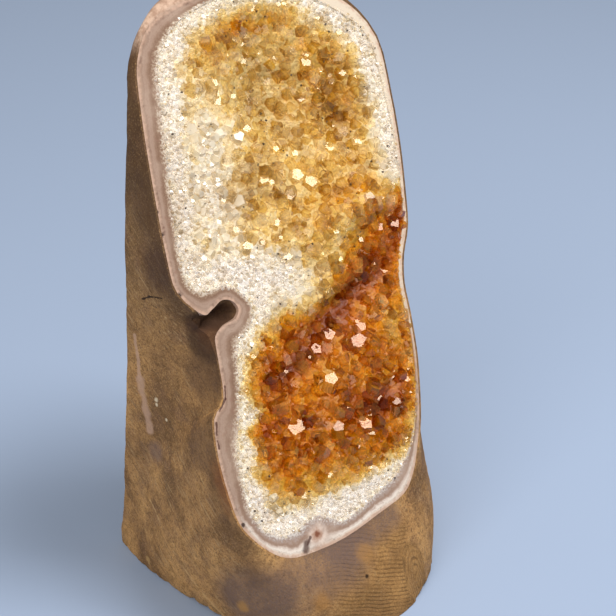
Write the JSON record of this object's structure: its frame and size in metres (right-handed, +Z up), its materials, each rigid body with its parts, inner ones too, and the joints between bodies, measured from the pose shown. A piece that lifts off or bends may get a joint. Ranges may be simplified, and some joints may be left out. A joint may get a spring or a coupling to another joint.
{
  "type": "citrine geode with a cut base",
  "caption": "Standing geode of ground brown basalt: a leaning polished face of banded agate frames a hollow crusted with pale quartz and golden to rust citrine crystals.",
  "frame": {"origin": "centre of the bounding box on the table plane, under the cut base", "axes": "+Z up, along the longest extent; -Y is the front, the way the cut face looks; +X to the right seen from the front"},
  "size_m": [0.1342, 0.13, 0.241],
  "materials": {
    "ground_basalt": "ground, matte brown, fine scratches",
    "polished_agate": "polished, banded cream to mauve",
    "citrine": "clear crystal, glossy facets, white at the edge and golden to rust inside"
  },
  "bodies": {
    "root": {"host_rock": "ground_basalt", "agate_rim": "polished_agate", "citrine_crust": "citrine"}
  },
  "joints": []
}
